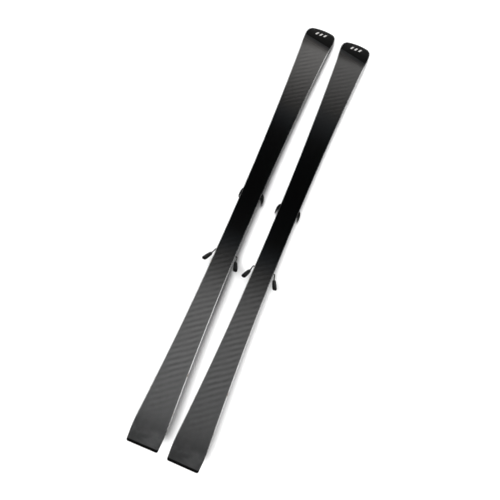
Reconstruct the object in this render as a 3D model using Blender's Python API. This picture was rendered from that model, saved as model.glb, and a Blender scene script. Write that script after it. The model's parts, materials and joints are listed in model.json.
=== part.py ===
"""A pair of alpine piste skis with step-in bindings and ski brakes, lying base up.

Each ski is modelled base down in its own frame: +X towards the tip, +Y to its left, +Z up,
with height 0 at the running base under the binding. An empty then turns the whole ski over
and tips it until it rests on its heel piece and on its tip. The world origin is in the
middle of the pair, on the surface that they lie on. All lengths are in metres.
"""
import math

import bpy
import bmesh
from mathutils import Matrix, Vector

GAP = 0.0003                    # kept between pieces that touch

# Ski outline, measured from a mark in the middle of the ski
TIP_X = 0.857
TAIL_X = -0.842
TIP_WIDTH = 0.1198
TIP_WIDE_X = 0.7785
WAIST_WIDTH = 0.0685
WAIST_X = -0.090
TAIL_WIDTH = 0.1042
TAIL_WIDE_X = -0.7635
TIP_TAPER_X = 0.770             # where the outline starts to draw in towards the tip corners
TIP_TAPER = 0.0118
TAIL_TAPER_X = -0.765
TAIL_TAPER = 0.0068
TIP_BULGE = 0.015               # how far the middle of the tip stands ahead of its corners
TIP_CAP = 0.013                 # depth of the tip protector at its corners
TAIL_CAP = 0.008

# Ski side view
CAMBER = 0.003
FLAT_REAR_X = -0.430            # the stretch under the binding is straight
FLAT_FRONT_X = 0.200
CONTACT_REAR_X = -0.760
CONTACT_FRONT_X = 0.670
TIP_RISE = 0.048
TAIL_RISE = 0.006
MID_THICKNESS = 0.0135
TIP_THICKNESS = 0.0060
TAIL_THICKNESS = 0.0068

# Layers, as heights above the running face
BASE_THICKNESS = 0.0020
EDGE_WIDTH = 0.0022
LAMINATE_THICKNESS = 0.0006
SIDEWALL_WIDTH = 0.0070
SIDEWALL_LEAN = 0.22            # inward run for each unit of height
TOP_SHEET_THICKNESS = 0.0009

# Binding
PLATE_REAR_X = -0.425
PLATE_FRONT_X = 0.180
PLATE_BOTTOM = MID_THICKNESS + GAP
PLATE_HEIGHT = 0.009
PLATE_WIDTH = 0.060
RAIL_WIDTH = 0.048
RAIL_HEIGHT = 0.0045            # the narrower upper part of the plate
DECK = PLATE_BOTTOM + PLATE_HEIGHT + GAP
CARRIER_THICKNESS = 0.004
CARRIER_WIDTH = 0.056
CARRIER_TOP = DECK + CARRIER_THICKNESS

TOE_REAR_X = -0.040
TOE_FRONT_X = 0.152
TOE_HOUSING_REAR_X = 0.046
TOE_HOUSING_FRONT_X = 0.142
TOE_HOUSING_SECTIONS = (        # place along the ski, half width, top
    (TOE_HOUSING_REAR_X, 0.0235, 0.0690), (TOE_HOUSING_REAR_X + 0.004, 0.0270, 0.0715),
    (0.085, 0.0270, 0.0705), (0.112, 0.0235, 0.0645), (0.132, 0.0175, 0.0580),
    (TOE_HOUSING_FRONT_X, 0.0145, 0.0545),
)
WING_PIVOT = (0.064, 0.0175)
WING_PLAN = (
    (0.0720, 0.0130), (0.0725, 0.0225), (0.0680, 0.0325), (0.0600, 0.0420), (0.0480, 0.0455),
    (0.0290, 0.0452), (0.0265, 0.0425), (0.0400, 0.0390), (0.0500, 0.0320), (0.0550, 0.0220),
    (0.0555, 0.0110),
)
WING_LOW = 0.0405
WING_HIGH = 0.0585
WING_PIN_RADIUS = 0.003
WING_PIN_REACH = 0.0035         # of a pin into the housing, above and below its wing
WING_SLOT_DEPTH = 0.0135        # how far the slot for the wings runs ahead of their pins
AFD_REAR_X = -0.034
AFD_FRONT_X = 0.022
AFD_HALF_WIDTH = 0.0255
AFD_THICKNESS = 0.0042

BORE_RADIUS = 0.0083            # bores for the release springs
TOE_BORE_HEIGHT = 0.0430
TOE_BORE_END_X = 0.082
HEEL_BORE_HEIGHT = 0.0510
HEEL_BORE_END_X = -0.300
SPRING_RADIUS = 0.0062
SPRING_WIRE_RADIUS = 0.0011
SPRING_TURNS = 6
SPRING_PLAY = 0.002             # between a spring's ends and the screw or the bore's end
SCREW_LENGTH = 0.012
SCREW_RIM = 0.0008
SCREW_SLOT_WIDTH = 0.0018
SCREW_SLOT_DEPTH = 0.0022
THROUGH = 0.1                   # a guide body's length where it only has to clear the piece it cuts

HEEL_REAR_X = -0.402
HEEL_FRONT_X = -0.247
HEEL_PIVOT = (-0.338, 0.0450)
HEEL_HALF_WIDTH = 0.0215
HEEL_EAR = (                    # the carrier's ear, from the pivot
    (-0.020, -0.0195), (0.020, -0.0195), (0.009, 0.005), (0.004, 0.009), (-0.004, 0.009), (-0.009, 0.005),
)
HEEL_RIM = 0.0050               # the rounding round the sides of the housing
HEEL_TOP = 0.099
HEEL_TOP_X = -0.271             # front end of the flat top, which the ski rests on
HEEL_FACE_X = -0.262
HEEL_OUTLINE = (
    (-0.348, 0.0310), (HEEL_FACE_X, 0.0310), (HEEL_FACE_X, 0.0930), (-0.2650, 0.0975), (HEEL_TOP_X, HEEL_TOP),
    (-0.2960, HEEL_TOP), (-0.3040, 0.0960), (-0.3090, 0.0890), (-0.3130, 0.0790), (-0.3200, 0.0735),
    (-0.3500, 0.0690), (-0.3570, 0.0670), (-0.3600, 0.0620), (-0.3600, 0.0415),
)
HEEL_MOUTH_X = -0.3585
CUP_OUTLINE = (
    (HEEL_FACE_X + GAP, 0.0370), (-0.2270, 0.0350), (-0.2250, 0.0385), (-0.2510, 0.0430), (-0.2530, 0.0480),
    (-0.2530, 0.0640), (-0.2490, 0.0680), (-0.2300, 0.0700), (-0.2290, 0.0760), (-0.2420, 0.0840),
    (HEEL_FACE_X + GAP, 0.0880),
)
BOOT_CENTRE = (-0.205, 0.0, 0.060)   # the round back of the boot's heel, which the jaw fits
BOOT_RADIUS = 0.036
LEVER_PIVOT = (-0.300, 0.0820)
LEVER_PIN_RADIUS = 0.0028
LEVER_PIN_END = 0.0192          # how near the middle of the ski a lever pin ends
PIN_ROOT = 0.0035               # of a pin inside the body that it stands on
LEVER_THICKNESS = 0.0040
LEVER_GRIP = (                  # the lever's shapes, from its pivot
    (-0.0260, 0.0030), (-0.0240, 0.0090), (-0.0600, 0.0150), (-0.0850, 0.0175), (-0.0880, 0.0150),
    (-0.0840, 0.0125), (-0.0600, 0.0095),
)
LEVER_ARM = (
    (0.0030, -0.0060), (0.0065, 0.0), (0.0030, 0.0060), (-0.0300, 0.0098), (-0.0340, 0.0052),
    (-0.0180, -0.0005), (-0.0030, -0.0060),
)
HEEL_PIN_RADIUS = 0.0040
CUP_HALF_WIDTH = 0.031
CUP_RIM = 0.0024

BRAKE_REAR_X = -0.2445
BRAKE_FRONT_X = -0.150
BRAKE_PIVOT = (-0.191, 0.0330)
BRAKE_CRANK = (-0.172, 0.0545)
BRAKE_BLOCK = (                 # a bearing block's side view, from the pivot
    (-0.010, -0.0075), (0.010, -0.0075), (0.0060, 0.003), (0.0030, 0.006), (-0.0030, 0.006), (-0.0060, 0.003),
)
BRAKE_BLOCK_SPAN = (0.0208, 0.0275)
BRAKE_WIRE_RADIUS = 0.0025
CRANK_END_Y = 0.0060
CRANK_Y = 0.0165
AXLE_END_Y = 0.0400
WIRE_IN_FOOT = 0.022
SOCKET_LENGTH = 0.0225
PEDAL_SLOPE = 0.32
PEDAL_THICKNESS = 0.0040
PEDAL_HEIGHT = 0.0034           # of the pedal's underside above the crank
PEDAL_HALF_WIDTH = 0.0195
PEDAL_BOSS_HALF_WIDTH = 0.0128
FOOT_ROOT = Vector((-0.217, 0.0430, 0.001))     # where the right-hand wire enters its foot
FOOT_END = Vector((-0.2565, 0.0550, -0.041))
FOOT_SECTIONS = (               # share of the foot's length, half width, half depth
    (0.10, 0.0048, 0.0042), (0.18, 0.0060, 0.0049), (0.50, 0.0069, 0.0051),
    (0.86, 0.0073, 0.0048), (0.96, 0.0067, 0.0040), (1.0, 0.0054, 0.0026),
)
FOOT_CORNERS = (
    (1, 0.45), (0.6, 1), (-0.6, 1), (-1, 0.45), (-1, -0.45), (-0.6, -1), (0.6, -1), (1, -0.45),
)

# The pair
SKI_SPACING = 0.1438
SKI_SPLAY = math.radians(0.38)
RIGHT_SET_BACK = 0.006

GRAPHITE_BASE = ("graphite_base", (0.030, 0.031, 0.033), 0.32, 0.0)
EDGE_STEEL = ("edge_steel", (0.52, 0.53, 0.54), 0.24, 1.0)
LAMINATE = ("titanal_laminate", (0.42, 0.43, 0.45), 0.40, 1.0)
CORE_WOOD = ("core_wood", (0.55, 0.38, 0.20), 0.70, 0.0)
SIDEWALL_PLASTIC = ("sidewall_plastic", (0.035, 0.035, 0.038), 0.45, 0.0)
TOP_SHEET_GLOSS = ("top_sheet_gloss", (0.020, 0.020, 0.023), 0.20, 0.0)
CAP_PLASTIC = ("cap_plastic", (0.025, 0.025, 0.026), 0.40, 0.0)
PLATE_PLASTIC = ("plate_plastic", (0.050, 0.050, 0.055), 0.50, 0.0)
BINDING_PLASTIC = ("binding_plastic", (0.028, 0.028, 0.030), 0.38, 0.0)
BINDING_GREY = ("binding_grey", (0.30, 0.31, 0.32), 0.42, 0.0)
SLIDE_PLASTIC = ("slide_plastic", (0.62, 0.62, 0.60), 0.35, 0.0)
BRAKE_PLASTIC = ("brake_plastic", (0.022, 0.022, 0.023), 0.45, 0.0)
BRIGHT_STEEL = ("bright_steel", (0.60, 0.61, 0.62), 0.28, 1.0)
COATED_STEEL = ("coated_steel", (0.030, 0.030, 0.032), 0.35, 0.6)
SPRING_STEEL = ("spring_steel", (0.40, 0.41, 0.43), 0.35, 1.0)

# Shapes of an extrusion's rim, as shares of its size: depth from the end and how far it is drawn in
CHAMFERED = ((0.0, 1.0), (1.0, 0.0))
ROUNDED = ((0.0, 1.0), (0.18, 0.52), (0.55, 0.14), (1.0, 0.0))


# ---------------------------------------------------------------- shared helpers

def material(finish):
    name, colour, roughness, metallic = finish
    found = bpy.data.materials.get(name)
    if found:
        return found
    made = bpy.data.materials.new(name)
    made.use_nodes = True
    shader = made.node_tree.nodes["Principled BSDF"]
    shader.inputs["Base Color"].default_value = (*colour, 1.0)
    shader.inputs["Roughness"].default_value = roughness
    shader.inputs["Metallic"].default_value = metallic
    return made


def solid(name, rings, finish, parent, pivot=(0.0, 0.0, 0.0), smooth_below=35.0):
    """A closed body skinned over rings of points, with its origin at the pivot."""
    pivot = Vector(pivot)
    work = bmesh.new()
    loops = [[work.verts.new(Vector(point) - pivot) for point in ring] for ring in rings]
    for lower, upper in zip(loops, loops[1:]):
        count = len(lower)
        for i in range(count):
            after = (i + 1) % count
            work.faces.new((lower[i], lower[after], upper[after], upper[i]))
    work.faces.new(list(reversed(loops[0])))
    work.faces.new(loops[-1])
    bmesh.ops.recalc_face_normals(work, faces=work.faces)
    mesh = bpy.data.meshes.new(name)
    work.to_mesh(mesh)
    work.free()
    mesh.shade_smooth()
    mesh.set_sharp_from_angle(angle=math.radians(smooth_below))
    piece = bpy.data.objects.new(name, mesh)
    piece.data.materials.append(material(finish))
    bpy.context.scene.collection.objects.link(piece)
    piece.location = pivot
    piece.parent = parent
    return piece


def combine(target, operation, rings, parent, pivot=(0.0, 0.0, 0.0)):
    """Join or cut the target with a guide body that isn't part of the model."""
    guide = solid(f"{target.name}_{operation.lower()}_guide", rings, CAP_PLASTIC, parent, pivot)
    guide.hide_render = True
    guide.display_type = "WIRE"
    step = target.modifiers.new(operation.title(), "BOOLEAN")
    step.operation = operation
    step.solver = "EXACT"
    step.object = guide
    return guide


def inset(outline, amount):
    """The anticlockwise outline drawn in by the amount, corner by corner."""
    drawn = []
    for i, here in enumerate(outline):
        here = Vector(here)
        arriving = (here - Vector(outline[i - 1])).normalized()
        leaving = (Vector(outline[(i + 1) % len(outline)]) - here).normalized()
        normal_in = Vector((-arriving.y, arriving.x))
        normal_out = Vector((-leaving.y, leaving.x))
        drawn.append(here + (normal_in + normal_out) * amount / (1.0 + normal_in.dot(normal_out)))
    return drawn


def prism(outline, low, high, chamfer, plane, rim=CHAMFERED):
    """Rings of an outline extruded across a plane ("XY", "XZ" or "YZ"), with chamfered or rounded rims."""
    levels = [(low, 0.0), (high, 0.0)]
    if chamfer:
        levels = [(low + depth * chamfer, drawn_in * chamfer) for depth, drawn_in in rim]
        levels += [(high - depth * chamfer, drawn_in * chamfer) for depth, drawn_in in reversed(rim)]
    rings = []
    for across, amount in levels:
        drawn = inset(outline, amount)
        if plane == "XY":
            rings.append([(p.x, p.y, across) for p in drawn])
        elif plane == "XZ":
            rings.append([(p.x, across, p.y) for p in drawn])
        else:
            rings.append([(across, p.x, p.y) for p in drawn])
    return rings


def cylinder(centre, axis, profile, sides):
    """Rings of a turned body: the profile lists distance along the axis and radius."""
    turn = Vector((0.0, 0.0, 1.0)).rotation_difference(Vector(axis))
    rings = []
    for along, radius in profile:
        angles = [math.tau * i / sides for i in range(sides)]
        ring = [Vector((radius * math.cos(a), radius * math.sin(a), along)) for a in angles]
        rings.append([Vector(centre) + turn @ point for point in ring])
    return rings


def soften(points, radius, steps, closed):
    """Replace each corner of a path with a short curve that starts and ends near the corner."""
    points = [Vector(point) for point in points]
    softened = []
    for i, corner in enumerate(points):
        at_end = not closed and i in (0, len(points) - 1)
        if at_end:
            softened.append(corner)
            continue
        before = points[i - 1] - corner
        after = points[(i + 1) % len(points)] - corner
        start = corner + before.normalized() * min(radius, before.length / 2.2)
        end = corner + after.normalized() * min(radius, after.length / 2.2)
        for step in range(steps + 1):
            t = step / steps
            softened.append(start * (1 - t) ** 2 + corner * 2 * t * (1 - t) + end * t ** 2)
    return softened


def sweep(path, radius, sides):
    """Rings of a round wire along a path, with the rings turned as little as possible."""
    rings = []
    across = None
    for i, point in enumerate(path):
        ahead = path[min(i + 1, len(path) - 1)] - path[max(i - 1, 0)]
        ahead.normalize()
        if across is None:
            across = ahead.orthogonal().normalized()
        across = (across - ahead * across.dot(ahead)).normalized()
        up = ahead.cross(across)
        angles = [math.tau * k / sides for k in range(sides)]
        rings.append([point + radius * (across * math.cos(a) + up * math.sin(a)) for a in angles])
    return rings


def smoothstep(low, high, value):
    t = min(max((value - low) / (high - low), 0.0), 1.0)
    return t * t * (3.0 - 2.0 * t)


def shape_at(centre, outline):
    """A flat outline moved to its centre."""
    return [(centre[0] + across, centre[1] + up) for across, up in outline]


def beside(side, inner, outer):
    """The stretch between two distances from the middle, on one side of the ski, lower end first."""
    return sorted((side * inner, side * outer))


def crosswise(centre, span, radius, sides=12):
    """Rings of a pin or a hole that lies across the ski, over a span of its width."""
    x, z = centre
    return cylinder((x, 0.0, z), (0, 1, 0), [(end, radius) for end in span], sides)


# ---------------------------------------------------------------- the ski's own form

def half_width(x):
    """Half the ski's width: a parabola each side of the waist, drawn in at both ends."""
    if x > WAIST_X:
        spread = (TIP_WIDTH - WAIST_WIDTH) / (TIP_WIDE_X - WAIST_X) ** 2
    else:
        spread = (TAIL_WIDTH - WAIST_WIDTH) / (TAIL_WIDE_X - WAIST_X) ** 2
    full = (WAIST_WIDTH + spread * (x - WAIST_X) ** 2) / 2
    to_tip = max(0.0, (x - TIP_TAPER_X) / (TIP_X - TIP_BULGE - TIP_TAPER_X))
    to_tail = max(0.0, (TAIL_TAPER_X - x) / (TAIL_TAPER_X - TAIL_X))
    return full - TIP_TAPER * to_tip ** 3 - TAIL_TAPER * to_tail ** 1.5


def base_height(x):
    """Height of the running face: straight under the binding, cambered, and turned up at the ends."""
    front = smoothstep(FLAT_FRONT_X, CONTACT_FRONT_X, x)
    rear = smoothstep(-FLAT_REAR_X, -CONTACT_REAR_X, -x)
    shovel = max(0.0, (x - CONTACT_FRONT_X) / (TIP_X - CONTACT_FRONT_X))
    heel_end = max(0.0, (CONTACT_REAR_X - x) / (CONTACT_REAR_X - TAIL_X))
    return -CAMBER * (front + rear) + TIP_RISE * shovel ** 2 + TAIL_RISE * heel_end ** 2


def thickness(x):
    to_tip = smoothstep(FLAT_FRONT_X + 0.02, CONTACT_FRONT_X + 0.06, x)
    to_tail = smoothstep(-FLAT_REAR_X + 0.02, -CONTACT_REAR_X, -x)
    ends = to_tip * (MID_THICKNESS - TIP_THICKNESS) + to_tail * (MID_THICKNESS - TAIL_THICKNESS)
    return MID_THICKNESS - ends


def on_ski(x, y, height):
    """The point at a height above the running face, measured square to that face."""
    step = 0.0005
    slope = (base_height(x + step) - base_height(x - step)) / (2 * step)
    scale = math.sqrt(1.0 + slope * slope)
    return Vector((x - height * slope / scale, y, base_height(x) + height / scale))


def stations():
    """Places along the ski where its cross-sections are set, closer together in the bent ends."""
    marks = [(TAIL_X + TAIL_CAP, CONTACT_REAR_X, 3), (CONTACT_REAR_X, CONTACT_FRONT_X, 19),
             (CONTACT_FRONT_X, TIP_X - TIP_BULGE - TIP_CAP, 11)]
    places = [marks[0][0]]
    for start, end, count in marks:
        places += [start + (end - start) * (i + 1) / count for i in range(count)]
    return places


def lean(x):
    """How far the top of the sidewall stands inside the steel edge."""
    return 0.0005 + SIDEWALL_LEAN * (thickness(x) - BASE_THICKNESS)


def layer(section):
    """Rings of one layer; section gives its (y, height) corners at a place along the ski."""
    return [[on_ski(x, y, height) for y, height in section(x)] for x in stations()]


def band(half, low, high):
    """Corners of a layer that runs from side to side."""
    return [(-half, low), (half, low), (half, high), (-half, high)]


def base_section(x):
    return band(half_width(x) - EDGE_WIDTH - GAP, 0.0, BASE_THICKNESS)


def laminate_section(x):
    low = BASE_THICKNESS + GAP
    return band(half_width(x) - 0.0004, low, low + LAMINATE_THICKNESS)


def core_section(x):
    low = BASE_THICKNESS + LAMINATE_THICKNESS + 2 * GAP
    half = half_width(x) - lean(x) - SIDEWALL_WIDTH - GAP
    return band(half, low, thickness(x) - TOP_SHEET_THICKNESS - GAP)


def top_sheet_section(x):
    half = half_width(x) - lean(x)
    top = thickness(x)
    return [(-half, top - TOP_SHEET_THICKNESS), (half, top - TOP_SHEET_THICKNESS),
            (half - 0.0008, top), (-half + 0.0008, top)]


def edge_section(side):
    def section(x):
        outer = half_width(x)
        inner = outer - EDGE_WIDTH
        return [(side * inner, 0.0), (side * outer, 0.0),
                (side * outer, BASE_THICKNESS), (side * inner, BASE_THICKNESS)]
    return section


def sidewall_section(side):
    def section(x):
        low = BASE_THICKNESS + LAMINATE_THICKNESS + 2 * GAP
        high = thickness(x) - TOP_SHEET_THICKNESS - GAP
        outer = half_width(x)
        inner = outer - lean(x) - SIDEWALL_WIDTH
        return [(side * inner, low), (side * (outer - 0.0004), low),
                (side * (outer - lean(x)), high), (side * inner, high)]
    return section


def ski_layers(prefix, parent, sides):
    solid(prefix + "base", layer(base_section), GRAPHITE_BASE, parent)
    solid(prefix + "lower_laminate", layer(laminate_section), LAMINATE, parent)
    solid(prefix + "core", layer(core_section), CORE_WOOD, parent)
    solid(prefix + "top_sheet", layer(top_sheet_section), TOP_SHEET_GLOSS, parent)
    for side, label in sides:
        solid(prefix + "edge_" + label, layer(edge_section(side)), EDGE_STEEL, parent)
        solid(prefix + "sidewall_" + label, layer(sidewall_section(side)), SIDEWALL_PLASTIC, parent)


def cap_levels(thick):
    """Heights of an end cap's rings and how far each is drawn in: a slight edge below, a softer one above."""
    return ((0.0, 0.0004), (0.0005, 0.0), (thick - 0.001, 0.0), (thick, 0.001))


def tip_protector(prefix, parent):
    """The cap round the front of the tip: straight behind, bowed in front, with soft corners."""
    rear = TIP_X - TIP_BULGE - TIP_CAP + GAP
    front_half = half_width(TIP_X - TIP_BULGE)
    rear_half = half_width(rear)
    shares = (-0.85, -0.55, -0.2, 0.2, 0.55, 0.85)
    bow = [(TIP_X - TIP_BULGE * share ** 2, front_half * share) for share in shares]
    corners = [(TIP_X - TIP_BULGE * 1.6, front_half + 0.0006), (TIP_X - TIP_BULGE, front_half - 0.0035)]
    outline = [(rear, -rear_half), *[(x, -y) for x, y in corners], *bow, *reversed(corners),
               (rear, rear_half)]
    skins = []
    for height, amount in cap_levels(TIP_THICKNESS):
        skins.append([on_ski(max(x, rear), y, height) for x, y in inset(outline, amount)])
    solid(prefix + "tip_protector", skins, CAP_PLASTIC, parent)


def tail_protector(prefix, parent):
    """The straight block at the tail, with rounded corners."""
    front = TAIL_X + TAIL_CAP - GAP
    half = half_width(TAIL_X)
    corner = [(TAIL_X + 0.0045, half + 0.0004), (TAIL_X + 0.0013, half - 0.0012), (TAIL_X, half - 0.0045)]
    outline = [(front, half_width(front)), *corner, *[(x, -y) for x, y in reversed(corner)],
               (front, -half_width(front))]
    skins = []
    for height, amount in cap_levels(TAIL_THICKNESS):
        skins.append([on_ski(min(x, front), y, height) for x, y in inset(outline, amount)])
    solid(prefix + "tail_protector", skins, CAP_PLASTIC, parent)


# ---------------------------------------------------------------- binding plate and carriers

def binding_plate(prefix, parent):
    """The mounting plate: a wide foot with a narrower rail on it, ramped at both ends."""
    foot = PLATE_HEIGHT - RAIL_HEIGHT
    rings = []
    for x, share in ((PLATE_REAR_X, 0.35), (PLATE_REAR_X + 0.020, 1.0),
                     (PLATE_FRONT_X - 0.024, 1.0), (PLATE_FRONT_X, 0.35)):
        step = PLATE_BOTTOM + foot * share
        top = PLATE_BOTTOM + PLATE_HEIGHT * share
        wide, rail = PLATE_WIDTH / 2, RAIL_WIDTH / 2
        rings.append([(x, -wide, PLATE_BOTTOM), (x, wide, PLATE_BOTTOM), (x, wide, step),
                      (x, rail, step), (x, rail, top), (x, -rail, top), (x, -rail, step), (x, -wide, step)])
    solid(prefix + "binding_plate", rings, PLATE_PLASTIC, parent)


def carrier_outline():
    """Cross-section of a carrier: a deck with two skirts that reach down beside the rail."""
    wide = CARRIER_WIDTH / 2
    inner = RAIL_WIDTH / 2 + GAP
    bottom = PLATE_BOTTOM + PLATE_HEIGHT - RAIL_HEIGHT + GAP
    return [(inner, DECK), (-inner, DECK), (-inner, bottom), (-wide, bottom),
            (-wide, CARRIER_TOP - 0.001), (-wide + 0.001, CARRIER_TOP),
            (wide - 0.001, CARRIER_TOP), (wide, CARRIER_TOP - 0.001), (wide, bottom), (inner, bottom)]


def carrier(name, rear, front, parent, pivot=(0.0, 0.0, 0.0)):
    outline = list(reversed(carrier_outline()))
    return solid(name, prism(outline, rear, front, 0.0, "YZ"), BINDING_PLASTIC, parent, pivot)


# ---------------------------------------------------------------- toe piece

def toe_housing(prefix, parent):
    """The toe piece's body: a rounded wedge with a slot for the wings and a bore for the spring."""
    rings = []
    low = CARRIER_TOP + GAP
    for x, half, top in TOE_HOUSING_SECTIONS:
        shoulder = low + (top - low) * 0.62
        rings.append([(x, -half, low), (x, half, low), (x, half, shoulder), (x, half * 0.80, top - 0.003),
                      (x, half * 0.45, top), (x, -half * 0.45, top), (x, -half * 0.80, top - 0.003),
                      (x, -half, shoulder)])
    housing = solid(prefix + "toe_housing", rings, BINDING_PLASTIC, parent, smooth_below=40.0)
    slot_front = WING_PIVOT[0] + WING_SLOT_DEPTH
    slot = [(-THROUGH, -THROUGH), (slot_front, -THROUGH), (slot_front, THROUGH), (-THROUGH, THROUGH)]
    combine(housing, "DIFFERENCE", prism(slot, WING_LOW - GAP, WING_HIGH + GAP, 0.0, "XY"), parent)
    bore = cylinder((TOE_BORE_END_X, 0.0, TOE_BORE_HEIGHT), (1, 0, 0),
                    [(0.0, BORE_RADIUS), (THROUGH, BORE_RADIUS)], 16)
    combine(housing, "DIFFERENCE", bore, parent)
    hole_radius = WING_PIN_RADIUS + GAP
    for side in (-1, 1):
        hole = cylinder((WING_PIVOT[0], side * WING_PIVOT[1], 0.0), (0, 0, 1),
                        [(WING_LOW - WING_PIN_REACH - GAP, hole_radius),
                         (WING_HIGH + WING_PIN_REACH + GAP, hole_radius)], 12)
        combine(housing, "DIFFERENCE", hole, parent)


def toe_wing(name, side, parent):
    """One wing: a lever that turns on an upright pin and hooks round the side of the boot's toe."""
    pivot = (WING_PIVOT[0], side * WING_PIVOT[1], (WING_LOW + WING_HIGH) / 2)
    outline = [(x, side * y) for x, y in WING_PLAN]
    if side < 0:
        outline.reverse()
    rings = prism(outline, WING_LOW, WING_HIGH, 0.0010, "XY")
    wing = solid(name, rings, BINDING_PLASTIC, parent, pivot)
    pin = cylinder((pivot[0], pivot[1], 0.0), (0, 0, 1),
                   [(WING_LOW - WING_PIN_REACH, WING_PIN_RADIUS),
                    (WING_HIGH + WING_PIN_REACH, WING_PIN_RADIUS)], 12)
    combine(wing, "UNION", pin, parent)


def afd_plate(prefix, parent):
    """The low-friction plate under the boot's toe, which slides sideways."""
    half = AFD_HALF_WIDTH
    corners = [(AFD_REAR_X, -half), (AFD_FRONT_X, -half), (AFD_FRONT_X, half), (AFD_REAR_X, half)]
    outline = soften(corners, 0.004, 2, closed=True)
    low = CARRIER_TOP + GAP
    solid(prefix + "afd_plate", prism(outline, low, low + AFD_THICKNESS, 0.0008, "XY"), SLIDE_PLASTIC, parent,
          ((AFD_REAR_X + AFD_FRONT_X) / 2, 0.0, low))


def release_screw(name, mouth, outward, height, parent):
    """The slotted plug that sets the spring, just inside the mouth of its bore."""
    radius = BORE_RADIUS - GAP
    profile = [(-SCREW_LENGTH, radius - SCREW_RIM), (-SCREW_LENGTH + SCREW_RIM, radius),
               (-SCREW_RIM, radius), (0.0, radius - SCREW_RIM)]
    rings = cylinder((mouth, 0.0, height), (outward, 0, 0), profile, 20)
    screw = solid(name, rings, BRIGHT_STEEL, parent, (mouth, 0.0, height))
    reach, half = radius * 0.8, SCREW_SLOT_WIDTH / 2
    slot = shape_at((0.0, height), ((-reach, -half), (reach, -half), (reach, half), (-reach, half)))
    low, high = sorted((mouth - outward * SCREW_SLOT_DEPTH, mouth + outward * SCREW_RIM))
    combine(screw, "DIFFERENCE", prism(slot, low, high, 0.0, "YZ"), parent)


def release_spring(name, start, end, height, parent):
    """The helical release spring between the bore's end and its screw."""
    path = []
    steps = SPRING_TURNS * 9
    for i in range(steps + 1):
        angle = math.tau * SPRING_TURNS * i / steps
        path.append(Vector((start + (end - start) * i / steps, SPRING_RADIUS * math.cos(angle),
                            height + SPRING_RADIUS * math.sin(angle))))
    solid(name, sweep(path, SPRING_WIRE_RADIUS, 4), SPRING_STEEL, parent, smooth_below=80.0)


def toe_piece(prefix, parent, sides):
    carrier(prefix + "toe_base", TOE_REAR_X, TOE_FRONT_X, parent)
    toe_housing(prefix, parent)
    for side, label in sides:
        toe_wing(prefix + "toe_wing_" + label, side, parent)
    afd_plate(prefix, parent)
    mouth = TOE_HOUSING_FRONT_X - 0.002
    release_screw(prefix + "toe_release_screw", mouth, 1, TOE_BORE_HEIGHT, parent)
    release_spring(prefix + "toe_spring", TOE_BORE_END_X + SPRING_PLAY, mouth - SCREW_LENGTH - SPRING_PLAY,
                   TOE_BORE_HEIGHT, parent)


# ---------------------------------------------------------------- heel piece

def heel_base(prefix, parent):
    """The heel carrier with two ears that hold the heel housing's pins."""
    base = carrier(prefix + "heel_base", HEEL_REAR_X, HEEL_FRONT_X, parent)
    ear = shape_at(HEEL_PIVOT, HEEL_EAR)
    for side in (-1, 1):
        low, high = beside(side, HEEL_HALF_WIDTH + GAP, CARRIER_WIDTH / 2 - 0.0005)
        combine(base, "UNION", prism(ear, low, high, 0.0006, "XZ"), parent)
    combine(base, "DIFFERENCE", crosswise(HEEL_PIVOT, (-THROUGH, THROUGH), HEEL_PIN_RADIUS + GAP), parent)


def heel_housing(prefix, parent):
    """The heel piece's body, with its pins, holes for the lever's pins, and a bore for the spring."""
    pivot = (HEEL_PIVOT[0], 0.0, HEEL_PIVOT[1])
    rings = prism(HEEL_OUTLINE, -HEEL_HALF_WIDTH, HEEL_HALF_WIDTH, HEEL_RIM, "XZ", ROUNDED)
    housing = solid(prefix + "heel_housing", rings, BINDING_PLASTIC, parent, pivot)
    for side in (-1, 1):
        span = beside(side, HEEL_HALF_WIDTH - PIN_ROOT, CARRIER_WIDTH / 2 - 0.001)
        combine(housing, "UNION", crosswise(HEEL_PIVOT, span, HEEL_PIN_RADIUS), parent)
    bore = cylinder((HEEL_BORE_END_X, 0.0, HEEL_BORE_HEIGHT), (-1, 0, 0),
                    [(0.0, BORE_RADIUS), (THROUGH, BORE_RADIUS)], 16)
    combine(housing, "DIFFERENCE", bore, parent)
    for side in (-1, 1):
        span = beside(side, LEVER_PIN_END - GAP * 2, CUP_HALF_WIDTH)
        combine(housing, "DIFFERENCE", crosswise(LEVER_PIVOT, span, LEVER_PIN_RADIUS + GAP), parent)


def heel_cup(prefix, parent):
    """The jaw that holds the boot's heel down and the tread that the heel steps on."""
    pivot = (HEEL_PIVOT[0], 0.0, HEEL_PIVOT[1])
    rings = prism(CUP_OUTLINE, -CUP_HALF_WIDTH, CUP_HALF_WIDTH, CUP_RIM, "XZ", ROUNDED)
    cup = solid(prefix + "heel_cup", rings, BINDING_GREY, parent, pivot)
    boot = cylinder(BOOT_CENTRE, (0, 0, 1), [(0.0, BOOT_RADIUS), (THROUGH, BOOT_RADIUS)], 24)
    combine(cup, "DIFFERENCE", boot, parent)


def heel_lever(prefix, parent):
    """The forked lever that opens the heel piece, pinned to both sides of its housing."""
    pivot = (LEVER_PIVOT[0], 0.0, LEVER_PIVOT[1])
    outer = HEEL_HALF_WIDTH + LEVER_THICKNESS
    grip = prism(shape_at(LEVER_PIVOT, LEVER_GRIP), -outer, outer, 0.0012, "XZ")
    lever = solid(prefix + "heel_lever", grip, BINDING_GREY, parent, pivot)
    arm = shape_at(LEVER_PIVOT, LEVER_ARM)
    for side in (-1, 1):
        low, high = beside(side, HEEL_HALF_WIDTH + GAP, outer)
        combine(lever, "UNION", prism(arm, low, high, 0.0006, "XZ"), parent)
        span = beside(side, LEVER_PIN_END, outer - 0.001)
        combine(lever, "UNION", crosswise(LEVER_PIVOT, span, LEVER_PIN_RADIUS), parent)


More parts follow.
